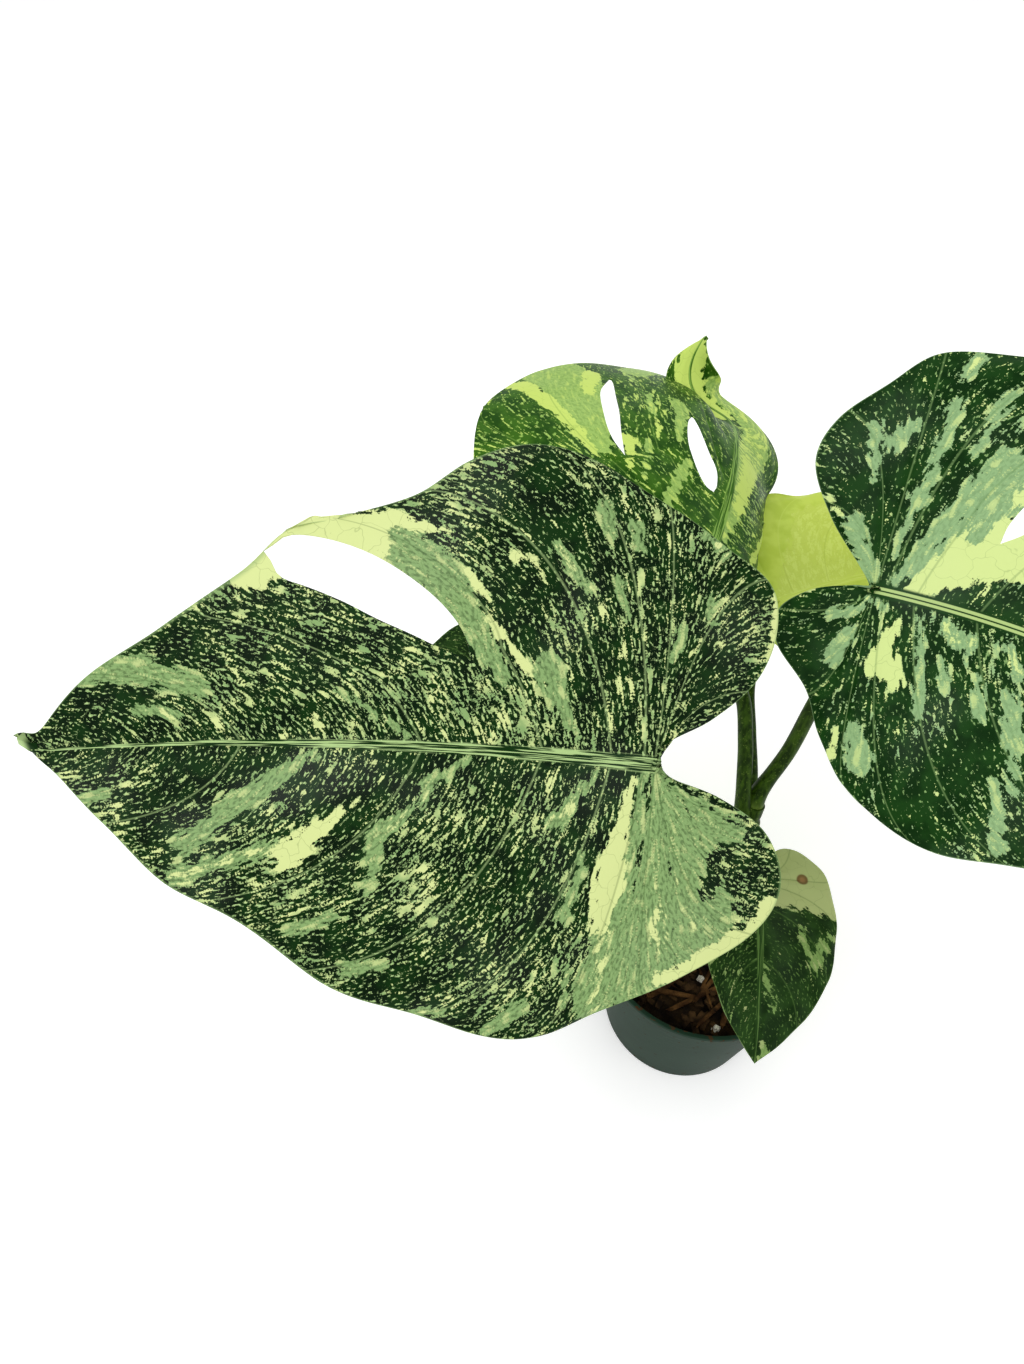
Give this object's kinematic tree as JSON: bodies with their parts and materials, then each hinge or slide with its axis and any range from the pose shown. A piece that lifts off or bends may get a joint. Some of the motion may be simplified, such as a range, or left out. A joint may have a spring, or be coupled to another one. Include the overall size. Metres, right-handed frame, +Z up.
{
  "type": "potted variegated monstera plant",
  "caption": "Young climbing aroid in a round nursery pot: broad heart-shaped leaves marbled green and cream, some slit, on arching petioles from a short stem.",
  "frame": {"origin": "centre of the pot's flat underside, on the surface the pot stands on", "axes": "+Z up along the pot's axis, +X to the right of the plant's front, -Y towards the front"},
  "size_m": [0.5444, 0.3711, 0.4256],
  "materials": {
    "pot": "satin slate grey-green",
    "mix": "rough moist bark and peat",
    "stem": "smooth green",
    "petiole": "smooth green",
    "marbled_leaf": "satin dark green marbled with cream",
    "yellow_leaf": "satin yellow-green",
    "dark_leaf": "satin dark green flecked with cream"
  },
  "bodies": {
    "root": {"nursery_pot": "pot", "potting_mix": "mix", "main_stem": "stem", "petiole_front_left": "petiole", "petiole_back_left": "petiole", "petiole_front_right": "petiole", "petiole_yellow": "petiole", "petiole_back_low": "petiole", "petiole_small_front": "petiole", "blade_front_left": "marbled_leaf", "blade_back_left": "marbled_leaf", "blade_front_right": "marbled_leaf", "blade_yellow": "yellow_leaf", "blade_back_low": "dark_leaf", "blade_small_front": "dark_leaf"}
  },
  "joints": []
}
